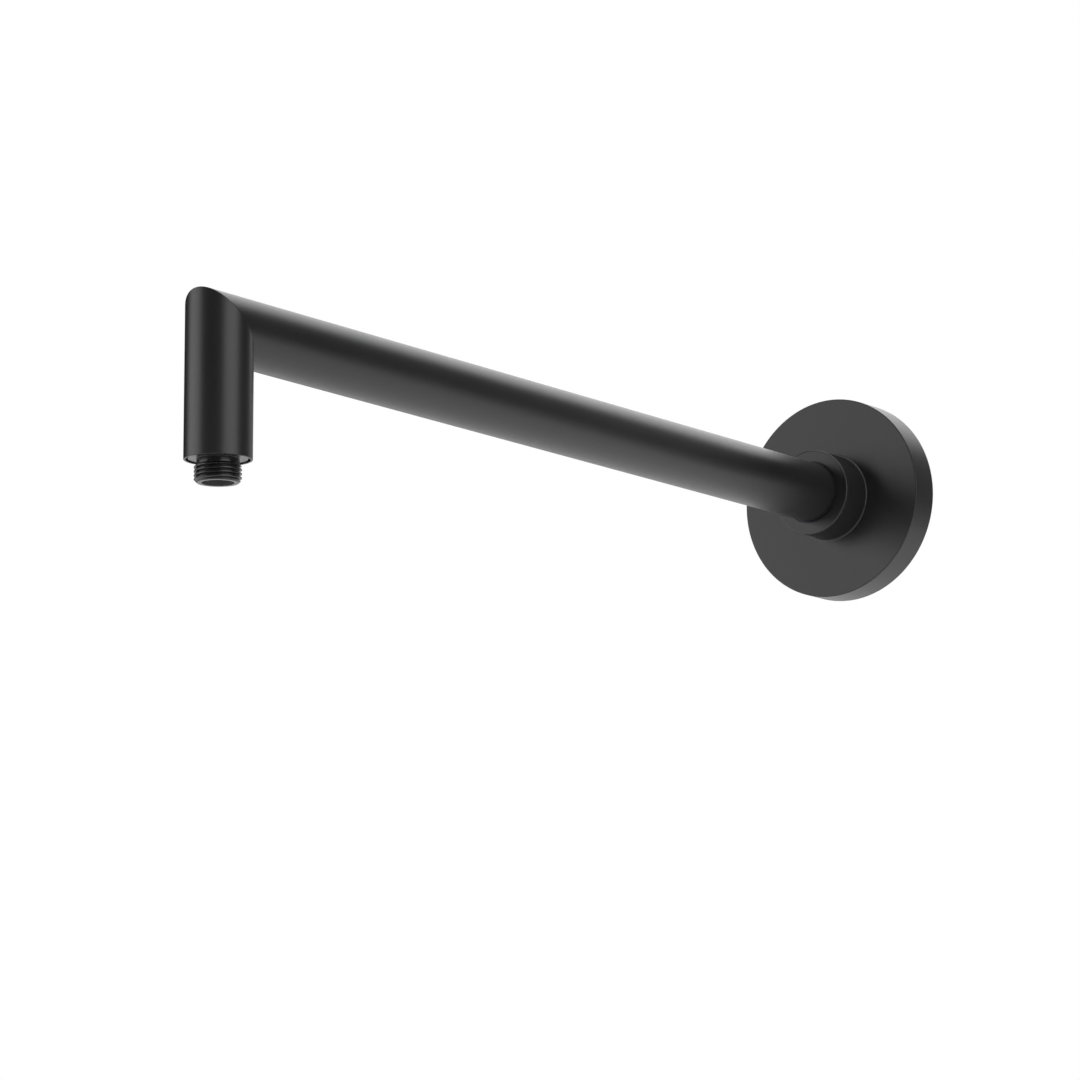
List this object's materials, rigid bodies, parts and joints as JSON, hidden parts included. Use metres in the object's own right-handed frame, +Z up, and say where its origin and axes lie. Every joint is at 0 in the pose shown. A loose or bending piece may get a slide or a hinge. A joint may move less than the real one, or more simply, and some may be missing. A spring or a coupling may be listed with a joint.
{
  "type": "shower arm",
  "caption": "Wall-mounted round shower arm with a mitred drop leg, a thick collared wall flange and male half-inch pipe threads at the wall and at the outlet.",
  "frame": {"origin": "on the axis of the arm at the wall face, which is the plane of the flange's back edge", "axes": "+Y into the wall, so the arm reaches along -Y; +Z up, so the outlet points along -Z; +X across the arm"},
  "size_m": [0.1024, 0.5485, 0.12],
  "materials": {
    "black_finish": "satin",
    "black_rubber": "matt"
  },
  "bodies": {
    "root": {"run_tube": "black_finish", "drop_tube": "black_finish", "outlet_nipple": "black_finish", "inlet_nipple": "black_finish", "wall_flange": "black_finish", "flange_ring": "black_rubber"}
  },
  "joints": []
}
